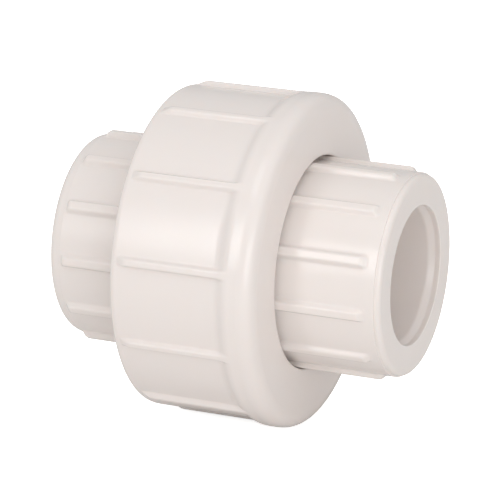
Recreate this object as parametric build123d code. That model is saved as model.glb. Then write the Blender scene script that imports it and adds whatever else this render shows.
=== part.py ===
from build123d import *
import math
import os

# A half-inch PVC pipe union: two socket ends drawn together, face to face,
# by a coarse-threaded nut, with an O-ring between the faces.
# Millimetres. The flow axis is X, with the threaded end at -X and the
# shoulder end at +X. The origin is the middle of the union on that axis.

# ---- driving dimensions -------------------------------------------------

OVERALL_LENGTH = 56.4
CLEARANCE = 0.05  # between faces that meet when the nut is tight

# Pipe sockets for pipe of 21.34 mm outside diameter.
SOCKET_R = 10.69
SOCKET_DEPTH = 22.2
LEAD_IN_HEIGHT = 0.45
LEAD_IN_RIM = 0.9  # depth of the straight rim before the bevel
LEAD_IN_DEPTH = 2.0
WATERWAY_R = 7.9

# Socket barrels; the threaded end's is a little the larger.
THREADED_BARREL_R = 16.6
THREADED_RIB_R = 17.5
THREADED_END_ROUND = 2.1
SHOULDER_BARREL_R = 16.2
SHOULDER_RIB_R = 16.95
SHOULDER_END_ROUND = 0.85
END_STEP = 0.2  # fine step down where a barrel starts to round off
BARREL_RIB_WIDTH = 1.1
BARREL_RIB_STOP = 2.5  # from the rib's end to the end of the barrel
BARREL_RIB_RUNOUT = 0.7

# Ribs stand all round each piece, at these angles above -Y.
RIB_COUNT = 12
NUT_RIB_PHASE = 11.0
SHOULDER_RIB_PHASE = 23.0
THREADED_RIB_PHASE = 2.0
RIB_DRAFT = 0.4  # widening of each flank towards the root
RIB_CREST_ROUND = 0.3
RIB_ROOT_ROUND = 0.5

# Sealing faces and the shoulder that the nut pulls on.
SEAL_X = 2.8
SHOULDER_R = 20.5
SHOULDER_THICKNESS = 4.4
SHOULDER_EDGE = 0.5

# Union nut.
NUT_LEFT_X = -12.8
NUT_RIGHT_X = 11.5
NUT_R = 26.8
NUT_PANEL_R = 26.0
NUT_RIB_WIDTH = 1.0
NUT_PANEL_END_X = 5.4
NUT_STEP_LENGTH = 1.5
NUT_RIGHT_ROUND = 2.6
NUT_LEFT_ROUND = 1.1
NUT_RIB_RISE = 2.2  # length over which its ribs rise from the left end
NUT_HOLE_R = 17.1
NUT_HOLE_EDGE = 0.35
NUT_CAVITY_ROUND = 0.8

# Union thread: eight turns to the inch, trapezoidal, right-handed.
PITCH = 25.4 / 8
THREAD_ROOT_R = 20.5
THREAD_CREST_R = 22.1
THREAD_GAP = 0.3  # radial gap between the nut's thread and the body's
THREAD_FLANK_GAP = 0.2
THREAD_CREST_WIDTH = 0.95
THREAD_FLANK_ANGLE = 15.0
THREAD_SINK = 0.4  # how far a ridge is rooted in its wall
BODY_THREAD_BACK_X = -10.4
BODY_THREAD_FRONT_X = 1.6
BODY_BACK_X = -11.2
NUT_THREAD_BACK_X = -11.1
NUT_THREAD_FRONT_X = 0.6
NUT_MOUTH_FLARE = 0.8

# O-ring, squeezed to the depth of its groove.
O_RING_R = 13.2
GROOVE_DEPTH = 2.2
GROOVE_WIDTH = 3.4
O_RING_WIDTH = 2.9
O_RING_ROUND = 0.9

END_X = OVERALL_LENGTH / 2
SOCKET_BOTTOM_X = END_X - SOCKET_DEPTH
SHOULDER_FACE_X = SEAL_X + CLEARANCE
SHOULDER_BACK_X = SHOULDER_FACE_X + SHOULDER_THICKNESS
NUT_FLANGE_X = SHOULDER_BACK_X + CLEARANCE
NUT_ROOT_R = THREAD_CREST_R + THREAD_GAP
NUT_CREST_R = THREAD_ROOT_R + THREAD_GAP


# ---- shared shapes ------------------------------------------------------


def turned(outline, rounds=()):
    """The solid that a closed outline of (x, radius) points sweeps about the X axis.

    Each of the rounds is (x, radius, how far that corner is rounded).
    """
    face = make_face(Polyline([(x, r) for x, r in outline], close=True))
    for x, r, size in rounds:
        face = fillet(face.vertices().sort_by_distance((x, r, 0))[0], size)
    return revolve(face, Axis.X, 360)


def ribbed_prism(core_r, crest_r, width, phase, start_x, end_x):
    """A round bar with straight ribs along it, their crests and roots rounded."""
    half = width / 2
    foot = core_r - 1.0
    spread = half + RIB_DRAFT
    rib = make_face(
        Polyline((foot, -spread), (crest_r, -half), (crest_r, half), (foot, spread), close=True)
    )
    section = Circle(core_r)
    for i in range(RIB_COUNT):
        section += Rotation(0, 0, i * 360 / RIB_COUNT - phase) * rib
    middle = (core_r + crest_r) / 2
    crests = [v for v in section.vertices() if math.hypot(v.X, v.Y) > middle]
    section = fillet(crests, RIB_CREST_ROUND)
    roots = [v for v in section.vertices() if math.hypot(v.X, v.Y) < core_r + 0.05]
    section = fillet(roots, RIB_ROOT_ROUND)
    prism = extrude(Plane.YZ * section, amount=end_x - start_x)
    return Pos(start_x, 0, 0) * prism


def thread_ridge(start_x, end_x, offset, wall_r, crest_r, wall_width, crest_width):
    """A right-handed helical ridge about X, from past start_x to past end_x.

    The ridge's middle crosses the -Z side at start_x plus the offset, in steps of a pitch.
    """
    turns = math.ceil((end_x - start_x) / PITCH) + 2
    path = Helix(PITCH, turns * PITCH, abs(wall_r + crest_r) / 2)
    section = make_face(
        Polyline(
            (wall_r, 0, -wall_width / 2),
            (crest_r, 0, -crest_width / 2),
            (crest_r, 0, crest_width / 2),
            (wall_r, 0, wall_width / 2),
            close=True,
        )
    )
    ridge = sweep(section, path=path, is_frenet=True)
    return Pos(start_x + offset - PITCH, 0, 0) * Rotation(0, 90, 0) * ridge


def socket_outline(end_x, bottom_x):
    """The pipe socket with its bevelled lead-in, open past the end of the barrel."""
    inward = 1 if bottom_x > end_x else -1
    return turned(
        [
            (end_x - inward, 0),
            (end_x - inward, SOCKET_R + LEAD_IN_HEIGHT),
            (end_x + inward * LEAD_IN_RIM, SOCKET_R + LEAD_IN_HEIGHT),
            (end_x + inward * LEAD_IN_DEPTH, SOCKET_R),
            (bottom_x, SOCKET_R),
            (bottom_x, 0),
        ]
    )


def barrel_ribs(core_r, crest_r, phase):
    """The ribs of a barrel that runs to the right, fading out short of its end."""
    start_x = 1.0
    end_x = END_X - BARREL_RIB_STOP
    prism = ribbed_prism(core_r, crest_r, BARREL_RIB_WIDTH, phase, start_x, end_x)
    envelope = turned(
        [
            (start_x, 0),
            (start_x, crest_r + 1),
            (end_x - BARREL_RIB_RUNOUT - 1, crest_r + 1),
            (end_x - BARREL_RIB_RUNOUT, crest_r),
            (end_x, core_r - 0.1),
            (end_x, 0),
        ]
    )
    return prism & envelope


# ---- pieces -------------------------------------------------------------


def barrel(radius, end_round):
    """The plain round barrel of a socket end, from the middle plane to +END_X."""
    low = radius - END_STEP
    step_x = END_X - end_round - 0.1
    outline = [(0, 0), (0, radius), (step_x, radius), (step_x, low), (END_X, low), (END_X, 0)]
    return turned(outline, [(END_X, low, end_round)])


def make_threaded_end():
    """Socket end with the outside thread and the O-ring's groove in its face."""
    shell = barrel(THREADED_BARREL_R, THREADED_END_ROUND)
    shell += barrel_ribs(THREADED_BARREL_R, THREADED_RIB_R, THREADED_RIB_PHASE)
    shell = mirror(shell, about=Plane.YZ)
    core = turned(
        [
            (BODY_BACK_X, 0),
            (BODY_BACK_X, THREAD_ROOT_R - 0.5),
            (BODY_BACK_X + 0.5, THREAD_ROOT_R),
            (SEAL_X - 0.4, THREAD_ROOT_R),
            (SEAL_X, THREAD_ROOT_R - 0.4),
            (SEAL_X, 0),
        ]
    )
    shell = shell + core + body_thread()
    shell -= socket_outline(-END_X, -SOCKET_BOTTOM_X)
    shell -= turned([(-END_X, 0), (-END_X, WATERWAY_R), (SEAL_X + 1, WATERWAY_R), (SEAL_X + 1, 0)])
    return shell - o_ring_groove()


def body_thread():
    """The outside thread, cut back to a bevel at each end."""
    flank = math.tan(math.radians(THREAD_FLANK_ANGLE))
    height = THREAD_CREST_R - THREAD_ROOT_R + THREAD_SINK
    wall_r = THREAD_CREST_R - height
    ridge = thread_ridge(
        BODY_THREAD_BACK_X,
        BODY_THREAD_FRONT_X,
        0,
        wall_r,
        THREAD_CREST_R,
        THREAD_CREST_WIDTH + 2 * height * flank,
        THREAD_CREST_WIDTH,
    )
    bevel = THREAD_CREST_R - wall_r
    envelope = turned(
        [
            (BODY_THREAD_BACK_X, 0),
            (BODY_THREAD_BACK_X, wall_r),
            (BODY_THREAD_BACK_X + bevel, THREAD_CREST_R + 0.01),
            (BODY_THREAD_FRONT_X - bevel, THREAD_CREST_R + 0.01),
            (BODY_THREAD_FRONT_X, wall_r),
            (BODY_THREAD_FRONT_X, 0),
        ]
    )
    return ridge & envelope


def nut_thread():
    """The inside thread, half a pitch on from the body's thread."""
    flank = math.tan(math.radians(THREAD_FLANK_ANGLE))
    body_width = THREAD_CREST_WIDTH + 2 * (THREAD_CREST_R - NUT_CREST_R) * flank
    crest_width = PITCH - body_width - 2 * THREAD_FLANK_GAP
    wall_r = NUT_ROOT_R + THREAD_SINK
    height = wall_r - NUT_CREST_R
    ridge = thread_ridge(
        NUT_THREAD_BACK_X,
        NUT_THREAD_FRONT_X,
        BODY_THREAD_BACK_X - NUT_THREAD_BACK_X - PITCH / 2,
        wall_r,
        NUT_CREST_R,
        crest_width + 2 * height * flank,
        crest_width,
    )
    envelope = turned(
        [
            (NUT_THREAD_BACK_X, wall_r + 1),
            (NUT_THREAD_BACK_X, wall_r),
            (NUT_THREAD_BACK_X + height, NUT_CREST_R - 0.01),
            (NUT_THREAD_FRONT_X - height, NUT_CREST_R - 0.01),
            (NUT_THREAD_FRONT_X, wall_r),
            (NUT_THREAD_FRONT_X, wall_r + 1),
        ]
    )
    return ridge & envelope


def o_ring_groove():
    """The ring-shaped groove in the sealing face."""
    inner = O_RING_R - GROOVE_WIDTH / 2
    outer = O_RING_R + GROOVE_WIDTH / 2
    floor = SEAL_X - GROOVE_DEPTH
    return turned([(floor, inner), (floor, outer), (SEAL_X + 1, outer), (SEAL_X + 1, inner)])


def make_o_ring():
    """The O-ring as it sits squeezed in its groove, flat front and back."""
    section = Pos(SEAL_X - GROOVE_DEPTH / 2, O_RING_R) * RectangleRounded(
        GROOVE_DEPTH, O_RING_WIDTH, O_RING_ROUND
    )
    return revolve(section, Axis.X, 360)


def make_tail_end():
    """Socket end with the shoulder that the nut's lip pulls against."""
    shell = barrel(SHOULDER_BARREL_R, SHOULDER_END_ROUND)
    shell += barrel_ribs(SHOULDER_BARREL_R, SHOULDER_RIB_R, SHOULDER_RIB_PHASE)
    shell -= Pos(SHOULDER_FACE_X - 50, 0, 0) * Box(100, 100, 100)
    shell += turned(
        [
            (SHOULDER_FACE_X, 0),
            (SHOULDER_FACE_X, SHOULDER_R - SHOULDER_EDGE),
            (SHOULDER_FACE_X + SHOULDER_EDGE, SHOULDER_R),
            (SHOULDER_BACK_X - SHOULDER_EDGE, SHOULDER_R),
            (SHOULDER_BACK_X, SHOULDER_R - SHOULDER_EDGE),
            (SHOULDER_BACK_X, 0),
        ]
    )
    shell -= socket_outline(END_X, SOCKET_BOTTOM_X)
    return shell - turned([(0, 0), (0, WATERWAY_R), (END_X, WATERWAY_R), (END_X, 0)])


def nut_outside():
    """The nut's outside: a ribbed skirt that steps up to a smooth band."""
    skirt = ribbed_prism(
        NUT_PANEL_R, NUT_R, NUT_RIB_WIDTH, NUT_RIB_PHASE, NUT_LEFT_X, NUT_PANEL_END_X + 1.5
    )
    skirt &= turned(
        [
            (NUT_LEFT_X, 0),
            (NUT_LEFT_X, NUT_PANEL_R),
            (NUT_LEFT_X + NUT_RIB_RISE, NUT_R + 0.1),
            (NUT_RIGHT_X, NUT_R + 0.1),
            (NUT_RIGHT_X, 0),
        ],
        [(NUT_LEFT_X, NUT_PANEL_R, NUT_LEFT_ROUND)],
    )
    band = turned(
        [
            (NUT_PANEL_END_X - 0.1, 0),
            (NUT_PANEL_END_X - 0.1, NUT_PANEL_R - 0.1),
            (NUT_PANEL_END_X, NUT_PANEL_R),
            (NUT_PANEL_END_X + NUT_STEP_LENGTH, NUT_R),
            (NUT_RIGHT_X, NUT_R),
            (NUT_RIGHT_X, 0),
        ],
        [(NUT_RIGHT_X, NUT_R, NUT_RIGHT_ROUND)],
    )
    return skirt + band


def nut_inside():
    """The nut's cavity: flared mouth, threaded bore, flat lip and hole."""
    mouth_r = NUT_ROOT_R + NUT_MOUTH_FLARE
    return turned(
        [
            (NUT_LEFT_X - 1, 0),
            (NUT_LEFT_X - 1, mouth_r),
            (NUT_LEFT_X, mouth_r),
            (NUT_LEFT_X + NUT_MOUTH_FLARE, NUT_ROOT_R),
            (NUT_FLANGE_X, NUT_ROOT_R),
            (NUT_FLANGE_X, NUT_HOLE_R),
            (NUT_RIGHT_X - NUT_HOLE_EDGE, NUT_HOLE_R),
            (NUT_RIGHT_X + 1, NUT_HOLE_R + NUT_HOLE_EDGE + 1),
            (NUT_RIGHT_X + 1, 0),
        ],
        [(NUT_FLANGE_X, NUT_ROOT_R, NUT_CAVITY_ROUND)],
    )


def make_union_nut():
    """The union nut, with its thread standing inside it."""
    return nut_outside() - nut_inside() + nut_thread()


os.makedirs("parts", exist_ok=True)
export_step(make_threaded_end(), "parts/threaded_end.step")
export_step(make_o_ring(), "parts/o_ring.step")
export_step(make_tail_end(), "parts/tail_end.step")
export_step(make_union_nut(), "parts/union_nut.step")
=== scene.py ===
import math

import bpy
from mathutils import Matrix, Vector


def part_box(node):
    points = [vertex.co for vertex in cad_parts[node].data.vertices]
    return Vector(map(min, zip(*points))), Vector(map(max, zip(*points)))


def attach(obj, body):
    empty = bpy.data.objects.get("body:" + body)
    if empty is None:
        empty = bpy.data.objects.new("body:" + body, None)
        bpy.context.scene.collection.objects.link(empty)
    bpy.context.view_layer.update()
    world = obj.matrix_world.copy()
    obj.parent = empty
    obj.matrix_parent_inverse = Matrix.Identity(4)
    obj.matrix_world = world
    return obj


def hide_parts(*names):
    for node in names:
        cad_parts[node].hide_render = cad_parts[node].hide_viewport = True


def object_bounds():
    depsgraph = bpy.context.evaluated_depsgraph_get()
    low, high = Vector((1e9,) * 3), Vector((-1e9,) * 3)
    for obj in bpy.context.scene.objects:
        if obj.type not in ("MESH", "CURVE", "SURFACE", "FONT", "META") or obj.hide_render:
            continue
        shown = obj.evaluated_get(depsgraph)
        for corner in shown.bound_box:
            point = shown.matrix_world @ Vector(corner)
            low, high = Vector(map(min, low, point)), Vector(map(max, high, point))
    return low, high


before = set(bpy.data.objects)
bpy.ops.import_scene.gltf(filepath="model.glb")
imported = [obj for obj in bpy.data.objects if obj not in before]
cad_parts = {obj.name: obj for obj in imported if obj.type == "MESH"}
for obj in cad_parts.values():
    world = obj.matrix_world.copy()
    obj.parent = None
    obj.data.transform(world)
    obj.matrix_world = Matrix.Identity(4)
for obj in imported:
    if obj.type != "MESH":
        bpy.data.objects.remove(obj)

# A half-inch PVC pipe union on a pale floor. The four pieces are lathed meshes whose
# profile changes round the axis, so that ribs and threads are part of the surface.
# Lengths are millimetres until a vertex is made. The axis of the union is X.

MM = 0.001
cad_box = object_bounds()


def span(node):
    """Lowest X, highest X and outer radius of a CAD node, in millimetres."""
    low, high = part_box(node)
    return low[0] / MM, high[0] / MM, high[1] / MM


# ---- sizes --------------------------------------------------------------

BODY_LEFT, SEAL_X, THREAD_CREST_R = span("threaded_end")
SHOULDER_X, TAIL_RIGHT, SHOULDER_R = span("tail_end")
NUT_LEFT, NUT_RIGHT, NUT_R = span("union_nut")
RING_LEFT, RING_RIGHT, RING_R = span("o_ring")

SOCKET_R = 10.69
SOCKET_DEPTH = 22.2
LEAD_IN_HEIGHT = 0.45
LEAD_IN_RIM = 0.9  # depth of the straight rim before the bevel
LEAD_IN_DEPTH = 2.0
WATERWAY_R = 7.9

THREADED_BARREL = (16.6, 17.5)  # radius, and radius over the ribs
THREADED_END_ROUND = 2.1
SHOULDER_BARREL = (16.2, 16.95)
SHOULDER_END_ROUND = 0.85
BARREL_RIB_STOP = 2.5
BARREL_RIB_RUNOUT = 0.75
END_STEP = 0.2  # height of the fine step where a barrel starts to round off
END_STEP_START = 0.1  # the step's own two ends, measured in from the rounding
END_STEP_STOP = 0.07

RIB_COUNT = 12
NUT_RIB_PHASE = 11.0  # degrees above -Y
SHOULDER_RIB_PHASE = 23.0
THREADED_RIB_PHASE = 2.0
NUT_RIB = (0.3, 0.7)  # half width of the crest, and width of a flank
SHOULDER_RIB = (0.4, 0.85)
THREADED_RIB = (0.4, 0.9)

SHOULDER_THICKNESS = 4.4
NUT_CLEARANCE = 0.05
NUT_PANEL_R = 26.0
NUT_PANEL_END_X = 5.4
NUT_STEP_LENGTH = 1.5
NUT_RIB_START = 1.3  # from the nut's left end to where its ribs begin to rise
NUT_RIB_RISE = 2.9  # and to where they have risen
NUT_RIB_INSET = 0.03
NUT_MOUTH_R = 23.2
NUT_HOLE_R = 17.1
NUT_FLANGE_X = SHOULDER_X + SHOULDER_THICKNESS + NUT_CLEARANCE
NUT_ROOT_R = 22.4
NUT_CREST_R = 20.8

PITCH = 25.4 / 8
THREAD_ROOT_R = 20.5
THREAD_CREST_WIDTH = 0.95
THREAD_FLANK = math.tan(math.radians(15))
THREAD_FLANK_GAP = 0.2
THREAD_RUNOUT = 0.4  # how far in from its ends the ridge starts to rise
BODY_THREAD = (-10.4, 1.6)
BODY_THREAD_WALL = (-10.5, 1.7)  # the core that carries the thread
NUT_THREAD = (-11.1, 0.6)
NUT_THREAD_WALL = (-11.1, 0.9)
BODY_BACK_X = -11.2

GROOVE = (11.5, 14.9)
GROOVE_DEPTH = 2.2
RING_MIDDLE_R = 13.2
RING_ROUND = 0.95

# ---- mesh density -------------------------------------------------------

ROW_SPACING = 0.8
RING_ROW_SPACING = 0.4
NUT_THREAD_ROWS = 0.11  # spacing of the rows that carry a thread
BODY_THREAD_ROWS = 0.12
SUPPORT = 0.08  # distance from a rounding to the row that holds it crisp
SUPPORT_LENGTH = 0.6  # the shortest edge that has such rows
BIG_ROUND = 0.5
BIG_ROUND_STEPS = 8
SMALL_ROUND_STEPS = 5
FAIR_SHARE = 0.45  # of an edge, which a corner may always cut back
LEAST_EDGE = 0.02  # what two corners leave of the edge between them
FLANK_STEPS = 6
PANEL_STEPS = 8
RIB_FOOT = 0.25
RING_COLUMNS = 240
WALL_BAND = 0.02  # a vertex this close to a thread's wall is on it
FINE_BAND = 0.1  # an edge whose middle is this close to it is a part of it
THREAD_MARGIN = 0.2


# ---- lathed meshes ------------------------------------------------------


def smooth(t):
    """0 to 1 with no corner at either end."""
    t = min(1.0, max(0.0, t))
    return t * t * t * (t * (6 * t - 15) + 10)


def corner(x, r, cut=0.0, rib=None):
    """A corner of a profile: its place, how far it is cut back, and its place on a rib."""
    return {"at": (x, r), "rib": rib or (x, r), "cut": cut}


def reach(cut, length, other):
    """How much of an edge a corner may cut back, when its neighbour cuts the other end."""
    return min(cut, max(FAIR_SHARE * length, length - other - LEAST_EDGE))


def tangents(corners, index, key):
    """Where the rounding of a corner starts, the corner itself, and where it ends."""
    here = corners[index]
    middle = Vector(here[key])
    ends = []
    for other in (corners[index - 1], corners[(index + 1) % len(corners)]):
        edge = Vector(other[key]) - middle
        ends.append(middle + edge.normalized() * reach(here["cut"], edge.length, other["cut"]))
    return ends[0], middle, ends[1]


def bend(turn, cut):
    """The points round a corner, each between ribs and on a rib."""
    if not cut:
        return [(turn[0][1], turn[1][1])]
    steps = BIG_ROUND_STEPS if cut > BIG_ROUND else SMALL_ROUND_STEPS
    out = []
    for k in range(steps + 1):
        s = k / steps
        a, b, c = (1 - s) ** 2, 2 * s * (1 - s), s * s
        out.append(tuple(start * a + middle * b + stop * c for start, middle, stop in turn))
    return out


def marks(length, spacing):
    """How far along an edge its rows stand, from 0 to 1."""
    parts = max(1, math.ceil(length / spacing))
    out = [k / parts for k in range(1, parts)]
    if length > SUPPORT_LENGTH:
        edge = SUPPORT / length
        inner = [m for m in out if edge * 1.5 < m < 1 - edge * 1.5]
        out = [edge] + inner + [1 - edge]
    return out


def on_thread(x, thread):
    """Whether x is within a thread, or just past its ends."""
    return thread[0] - THREAD_MARGIN < x < thread[1] + THREAD_MARGIN


def run(corners, step, fine=None):
    """A closed profile of (point between ribs, point on a rib) pairs from its corners.

    A wall that carries a thread is fine: (the thread's ends, its radius, row spacing).
    """
    turns = [[tangents(corners, i, key) for key in ("at", "rib")] for i in range(len(corners))]
    out = []
    for i, c in enumerate(corners):
        out += bend(turns[i], c["cut"])
        following = turns[(i + 1) % len(corners)]
        ends = [(a[2], b[0]) for a, b in zip(turns[i], following)]
        length = max((stop - start).length for start, stop in ends)
        spacing = step
        if fine:
            thread, radius, close = fine
            middle = (ends[0][0] + ends[0][1]) / 2
            if on_thread(middle.x, thread) and abs(middle.y - radius) <= FINE_BAND:
                spacing = close
        for m in marks(length, spacing):
            out.append(tuple(start.lerp(stop, m) for start, stop in ends))
    return out


def columns(phase, radius, rib):
    """Angles about X, in radians from +Y, with how much of a rib stands at each."""
    crest, flank = rib
    near = [0.0, 0.5 * crest, crest]
    near += [crest + flank * k / FLANK_STEPS for k in range(1, FLANK_STEPS + 1)]
    near.append(crest + flank + RIB_FOOT)
    offsets = [math.degrees(d / radius) for d in near]
    pitch = 360 / RIB_COUNT
    last = offsets[-1]
    free = pitch - 2 * last
    turn = [-o for o in reversed(offsets[1:])] + offsets
    turn += [last + free * j / PANEL_STEPS for j in range(1, PANEL_STEPS)]
    out = []
    for k in range(RIB_COUNT):
        middle = 180 - phase + k * pitch
        for o in turn:
            distance = math.radians(min(abs(o), pitch - abs(o))) * radius
            out.append((math.radians(middle + o), 1 - smooth((distance - crest) / flank)))
    return out


def swept_volume(mesh):
    """Six times the volume inside a closed mesh; it is negative if it is inside out."""
    total = 0.0
    for poly in mesh.polygons:
        a, *others = [mesh.vertices[v].co for v in poly.vertices]
        for b, c in zip(others, others[1:]):
            total += a.dot(b.cross(c))
    return total


def lathe(name, profile, cols, shape=None):
    """A closed mesh from a closed profile carried round X through the columns."""
    verts = []
    for angle, rib in cols:
        c, s = math.cos(angle), math.sin(angle)
        for low, high in profile:
            x, r = low.lerp(high, rib)
            if shape:
                x, r = shape(x, r, angle)
            verts.append((x * MM, r * c * MM, r * s * MM))
    rows, turns = len(profile), len(cols)
    faces = []
    for i in range(turns):
        here, there = i * rows, (i + 1) % turns * rows
        for j in range(rows):
            k = (j + 1) % rows
            faces.append((here + j, there + j, there + k, here + k))
    mesh = bpy.data.meshes.new(name)
    mesh.from_pydata(verts, [], faces)
    mesh.validate()
    if swept_volume(mesh) < 0:
        mesh.flip_normals()
    mesh.shade_smooth()
    ob = bpy.data.objects.new(name, mesh)
    bpy.context.scene.collection.objects.link(ob)
    return ob


# ---- threads ------------------------------------------------------------


def ridge_drop(x, angle, shift, width):
    """How far from its crest a helical ridge's flank is, if it had no floor."""
    turn = (angle + math.pi / 2) / (2 * math.pi) * PITCH
    u = (x - BODY_THREAD[0] - shift - turn) % PITCH
    away = min(u, PITCH - u)
    return max(0.0, away - width / 2) / THREAD_FLANK


def rise(x, thread):
    """How high the ridge may stand at x, so that it fades out at both ends."""
    return max(0.0, min(x - thread[0], thread[1] - x) - THREAD_RUNOUT)


def body_thread(x, r, angle):
    """Raises the outside thread on the threaded end's core."""
    if r < THREAD_ROOT_R - WALL_BAND or not on_thread(x, BODY_THREAD):
        return x, r
    crest = THREAD_CREST_R - ridge_drop(x, angle, 0, THREAD_CREST_WIDTH)
    return x, max(r, min(crest, THREAD_ROOT_R + rise(x, BODY_THREAD)))


def nut_thread(x, r, angle):
    """Raises the inside thread in the nut's bore."""
    if abs(r - NUT_ROOT_R) >= WALL_BAND or not on_thread(x, NUT_THREAD):
        return x, r
    male = THREAD_CREST_WIDTH + 2 * (THREAD_CREST_R - NUT_CREST_R) * THREAD_FLANK
    width = PITCH - male - 2 * THREAD_FLANK_GAP
    crest = NUT_CREST_R + ridge_drop(x, angle, -PITCH / 2, width)
    return x, min(r, max(crest, NUT_ROOT_R - rise(x, NUT_THREAD)))


# ---- pieces -------------------------------------------------------------


def make_nut():
    rib_r = NUT_R - NUT_RIB_INSET
    risen = NUT_LEFT + NUT_RIB_RISE
    corners = [
        corner(NUT_LEFT, NUT_MOUTH_R, 0.25),
        corner(NUT_LEFT, NUT_PANEL_R, 1.2),
        corner(NUT_LEFT + NUT_RIB_START, NUT_PANEL_R, 0.1),
        corner(risen, NUT_PANEL_R, 0.6, rib=(risen, rib_r)),
        corner(NUT_PANEL_END_X, NUT_PANEL_R, 0.6, rib=(NUT_PANEL_END_X, rib_r)),
        corner(NUT_PANEL_END_X + NUT_STEP_LENGTH, NUT_R, 0.7),
        corner(NUT_RIGHT, NUT_R, 2.6),
        corner(NUT_RIGHT, NUT_HOLE_R, 0.45),
        corner(NUT_FLANGE_X, NUT_HOLE_R, 0.3),
        corner(NUT_FLANGE_X, NUT_ROOT_R, 0.8),
        corner(NUT_THREAD_WALL[1], NUT_ROOT_R),
        corner(NUT_THREAD_WALL[0], NUT_ROOT_R),
    ]
    fine = (NUT_THREAD, NUT_ROOT_R, NUT_THREAD_ROWS)
    cols = columns(NUT_RIB_PHASE, NUT_PANEL_R, NUT_RIB)
    return lathe("nut", run(corners, ROW_SPACING, fine), cols, nut_thread)


def barrel_corners(end, sizes, end_round):
    """Corners from the foot of a barrel out to its end and back down its socket."""
    inward = -1 if end > 0 else 1
    radius, crest = sizes
    rib_end = end + inward * BARREL_RIB_STOP
    rib_top = rib_end + inward * BARREL_RIB_RUNOUT
    rim_r = SOCKET_R + LEAD_IN_HEIGHT
    return [
        corner(rib_top, radius, 0.35, rib=(rib_top, crest)),
        corner(rib_end, radius, 0.3),
        corner(end + inward * (end_round + END_STEP_START), radius, 0.05),
        corner(end + inward * (end_round + END_STEP_STOP), radius - END_STEP, 0.05),
        corner(end, radius - END_STEP, end_round),
        corner(end, rim_r, 0.2),
        corner(end + inward * LEAD_IN_RIM, rim_r, 0.1),
        corner(end + inward * LEAD_IN_DEPTH, SOCKET_R, 0.3),
        corner(end + inward * SOCKET_DEPTH, SOCKET_R, 0.4),
        corner(end + inward * SOCKET_DEPTH, WATERWAY_R, 0.3),
    ]


def make_tail():
    radius, crest = SHOULDER_BARREL
    back = SHOULDER_X + SHOULDER_THICKNESS
    corners = [
        corner(SHOULDER_X, WATERWAY_R, 0.3),
        corner(SHOULDER_X, SHOULDER_R, 0.5),
        corner(back, SHOULDER_R, 0.5),
        corner(back, radius, 0.3, rib=(back, crest)),
    ]
    corners += barrel_corners(TAIL_RIGHT, SHOULDER_BARREL, SHOULDER_END_ROUND)
    cols = columns(SHOULDER_RIB_PHASE, radius, SHOULDER_RIB)
    return lathe("tail", run(corners, ROW_SPACING), cols)


def make_body():
    radius, crest = THREADED_BARREL
    floor_x = SEAL_X - GROOVE_DEPTH
    corners = [
        corner(SEAL_X, WATERWAY_R, 0.3),
        corner(SEAL_X, GROOVE[0], 0.15),
        corner(floor_x, GROOVE[0], 0.2),
        corner(floor_x, GROOVE[1], 0.2),
        corner(SEAL_X, GROOVE[1], 0.15),
        corner(SEAL_X, THREAD_ROOT_R, 0.4),
        corner(BODY_THREAD_WALL[1], THREAD_ROOT_R),
        corner(BODY_THREAD_WALL[0], THREAD_ROOT_R),
        corner(BODY_BACK_X, THREAD_ROOT_R, 0.4),
        corner(BODY_BACK_X, radius, 0.4, rib=(BODY_BACK_X, crest)),
    ]
    corners += barrel_corners(BODY_LEFT, THREADED_BARREL, THREADED_END_ROUND)
    fine = (BODY_THREAD, THREAD_ROOT_R, BODY_THREAD_ROWS)
    cols = columns(THREADED_RIB_PHASE, radius, THREADED_RIB)
    return lathe("body", run(corners, ROW_SPACING, fine), cols, body_thread)


def make_ring():
    inner = 2 * RING_MIDDLE_R - RING_R
    places = ((RING_LEFT, inner), (RING_LEFT, RING_R), (RING_RIGHT, RING_R), (RING_RIGHT, inner))
    corners = [corner(x, r, RING_ROUND) for x, r in places]
    cols = [(2 * math.pi * k / RING_COLUMNS, 0.0) for k in range(RING_COLUMNS)]
    return lathe("seal_ring", run(corners, RING_ROW_SPACING), cols)


# ---- materials ----------------------------------------------------------


def noise(nt, vector, scale, detail):
    node = nt.nodes.new("ShaderNodeTexNoise")
    node.inputs["Scale"].default_value = scale
    node.inputs["Detail"].default_value = detail
    node.inputs["Roughness"].default_value = 0.5
    nt.links.new(vector, node.inputs["Vector"])
    return node.outputs["Fac"]


def ramp(nt, fac, start, stop):
    """A colour that runs from start to stop, each a (position, colour) pair."""
    node = nt.nodes.new("ShaderNodeValToRGB")
    for element, (position, colour) in zip(node.color_ramp.elements, (start, stop)):
        element.position = position
        element.color = (*colour, 1)
    nt.links.new(fac, node.inputs["Fac"])
    return node.outputs["Color"]


def grey(value):
    return (value, value, value)


def bump(nt, height, strength, distance, under=None):
    node = nt.nodes.new("ShaderNodeBump")
    node.inputs["Strength"].default_value = strength
    node.inputs["Distance"].default_value = distance
    nt.links.new(height, node.inputs["Height"])
    if under:
        nt.links.new(under, node.inputs["Normal"])
    return node.outputs["Normal"]


def new_material(name):
    mat = bpy.data.materials.new(name)
    mat.use_nodes = True
    return mat, mat.node_tree, mat.node_tree.nodes["Principled BSDF"]


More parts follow.
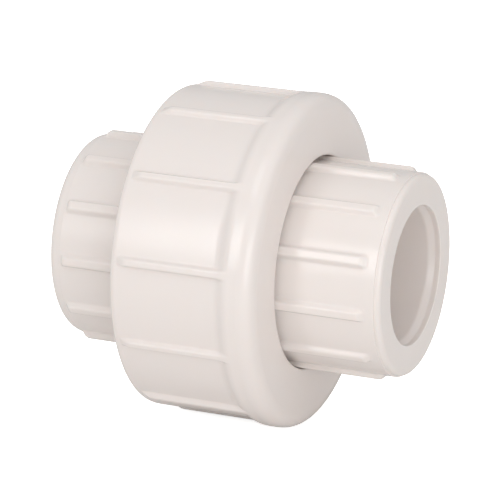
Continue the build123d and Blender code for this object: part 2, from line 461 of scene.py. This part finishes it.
def pvc(name, seed, tone):
    """Moulded white PVC: faint clouding along the flow, and a soft uneven gloss."""
    mat, nt, bsdf = new_material(name)
    bsdf.inputs["IOR"].default_value = 1.53
    bsdf.inputs["Subsurface Weight"].default_value = 0.2
    bsdf.inputs["Subsurface Radius"].default_value = (1.0, 0.75, 0.6)
    bsdf.inputs["Subsurface Scale"].default_value = 0.0012
    place = nt.nodes.new("ShaderNodeMapping")
    place.inputs["Location"].default_value = (seed, seed * 1.7, -seed)
    nt.links.new(nt.nodes.new("ShaderNodeTexCoord").outputs["Object"], place.inputs["Vector"])
    here = place.outputs["Vector"]
    flow = nt.nodes.new("ShaderNodeMapping")
    flow.inputs["Scale"].default_value = (0.25, 1.0, 1.0)
    nt.links.new(here, flow.inputs["Vector"])

    cloud = noise(nt, flow.outputs["Vector"], scale=70.0, detail=4.0)
    dark = tuple(c * k for c, k in zip(tone, (0.98, 0.97, 0.96)))
    nt.links.new(ramp(nt, cloud, (0.1, dark), (0.9, tone)), bsdf.inputs["Base Color"])
    patches = noise(nt, here, scale=240.0, detail=4.0)
    gloss = ramp(nt, patches, (0.25, grey(0.19)), (0.75, grey(0.26)))
    nt.links.new(gloss, bsdf.inputs["Roughness"])
    fine = noise(nt, here, scale=2600.0, detail=3.0)
    broad = noise(nt, here, scale=110.0, detail=1.0)
    skin = bump(nt, fine, strength=0.06, distance=0.00003)
    wave = bump(nt, broad, strength=0.12, distance=0.0002, under=skin)
    nt.links.new(wave, bsdf.inputs["Normal"])
    return mat


def rubber(name):
    """Black rubber with a dull, slightly grained skin."""
    mat, nt, bsdf = new_material(name)
    here = nt.nodes.new("ShaderNodeTexCoord").outputs["Object"]
    grain = noise(nt, here, scale=1500.0, detail=4.0)
    bloom = noise(nt, here, scale=120.0, detail=4.0)
    colour = ramp(nt, bloom, (0.35, (0.018, 0.018, 0.019)), (0.75, (0.045, 0.044, 0.043)))
    nt.links.new(colour, bsdf.inputs["Base Color"])
    dullness = ramp(nt, grain, (0.3, grey(0.42)), (0.7, grey(0.6)))
    nt.links.new(dullness, bsdf.inputs["Roughness"])
    nt.links.new(bump(nt, grain, strength=0.3, distance=0.00005), bsdf.inputs["Normal"])
    return mat


# ---- the union ----------------------------------------------------------

# Maker, CAD node, body, slot and material of each piece.
for make, node, body, slot, mat in (
    (make_nut, "union_nut", "nut", "pvc", pvc("pvc_nut", 0.0, (0.86, 0.80, 0.77))),
    (make_tail, "tail_end", "tail", "pvc", pvc("pvc_tail", 3.1, (0.86, 0.80, 0.768))),
    (make_body, "threaded_end", "threaded_body", "pvc", pvc("pvc_body", 7.7, (0.86, 0.803, 0.772))),
    (make_ring, "o_ring", "threaded_body", "seal", rubber("rubber_black")),
):
    piece = make()
    piece.data.materials.append(mat)
    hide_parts(node)
    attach(piece, body)

# ---- stage --------------------------------------------------------------

FLOOR_HALF = 3.0
FLOOR_GAP = 0.02 * MM
FLOOR_TONE = (0.86, 0.85, 0.84, 1)
FLOOR_GLOW = 0.8  # seen by the camera only, so that it doesn't light the union
SKY_AT_HORIZON = 0.62
SKY_STRENGTH = 0.76


def make_floor():
    z = cad_box[0][2] - FLOOR_GAP
    places = [(-1, -1), (1, -1), (1, 1), (-1, 1)]
    mesh = bpy.data.meshes.new("floor")
    mesh.from_pydata([(x * FLOOR_HALF, y * FLOOR_HALF, z) for x, y in places], [], [(0, 1, 2, 3)])
    paper, nt, bsdf = new_material("paper")
    bsdf.inputs["Base Color"].default_value = FLOOR_TONE
    bsdf.inputs["Roughness"].default_value = 0.9
    bsdf.inputs["Emission Color"].default_value = (1, 1, 1, 1)
    glow = nt.nodes.new("ShaderNodeMath")
    glow.operation = "MULTIPLY"
    glow.inputs[1].default_value = FLOOR_GLOW
    nt.links.new(nt.nodes.new("ShaderNodeLightPath").outputs["Is Camera Ray"], glow.inputs[0])
    nt.links.new(glow.outputs[0], bsdf.inputs["Emission Strength"])
    mesh.materials.append(paper)
    ob = bpy.data.objects.new("floor", mesh)
    bpy.context.scene.collection.objects.link(ob)
    return ob


def make_sky():
    world = bpy.data.worlds.new("studio")
    bpy.context.scene.world = world
    world.use_nodes = True
    nt = world.node_tree
    split = nt.nodes.new("ShaderNodeSeparateXYZ")
    nt.links.new(nt.nodes.new("ShaderNodeTexCoord").outputs["Generated"], split.inputs["Vector"])
    shade = ramp(nt, split.outputs["Z"], (0.0, grey(SKY_AT_HORIZON)), (0.9, grey(1.0)))
    nt.links.new(shade, nt.nodes["Background"].inputs["Color"])
    nt.nodes["Background"].inputs["Strength"].default_value = SKY_STRENGTH


floor = make_floor()
make_sky()
bpy.context.scene.view_settings.view_transform = "Standard"

# ---- light and camera ---------------------------------------------------

# Name, azimuth, elevation, distance, width and height, and power. Azimuth 0 is at -Y
# and 90 at +X. Degrees, metres and watts.
SOFTBOXES = (
    ("key", -21, 25, 0.7, (0.11, 0.4), 0.58),
    ("top", -10, 68, 0.8, (0.4, 0.4), 0.5),
    ("fill", 36, 10, 0.7, (0.42, 0.36), 0.9),
    ("rim", 60, 14, 0.7, (0.2, 0.3), 0.35),
)
CAMERA_PLACE = (23.46, 18.08, 0.4978)
CAMERA_LENS = 223.9
CAMERA_SHIFT = (-0.0019, 0.0065)


def toward(azimuth, elevation, distance):
    """A point round the object, in degrees and metres."""
    a, e = math.radians(azimuth), math.radians(elevation)
    flat = math.cos(e)
    return distance * Vector((math.sin(a) * flat, -math.cos(a) * flat, math.sin(e)))


def aim(ob, place):
    """Puts a lamp or a camera at a place, looking at the middle of the union."""
    ob.location = toward(*place)
    ob.rotation_euler = (-ob.location).to_track_quat("-Z", "Y").to_euler()
    bpy.context.scene.collection.objects.link(ob)


for name, azimuth, elevation, distance, size, power in SOFTBOXES:
    data = bpy.data.lights.new(name, "AREA")
    data.shape = "ELLIPSE"
    data.size, data.size_y = size
    data.energy = power
    aim(bpy.data.objects.new(name, data), (azimuth, elevation, distance))

camera_data = bpy.data.cameras.new("camera")
camera_data.sensor_width = 36
camera_data.lens = CAMERA_LENS
camera_data.shift_x, camera_data.shift_y = CAMERA_SHIFT
camera_data.clip_start = 0.01
camera = bpy.data.objects.new("camera", camera_data)
aim(camera, CAMERA_PLACE)
bpy.context.scene.camera = camera
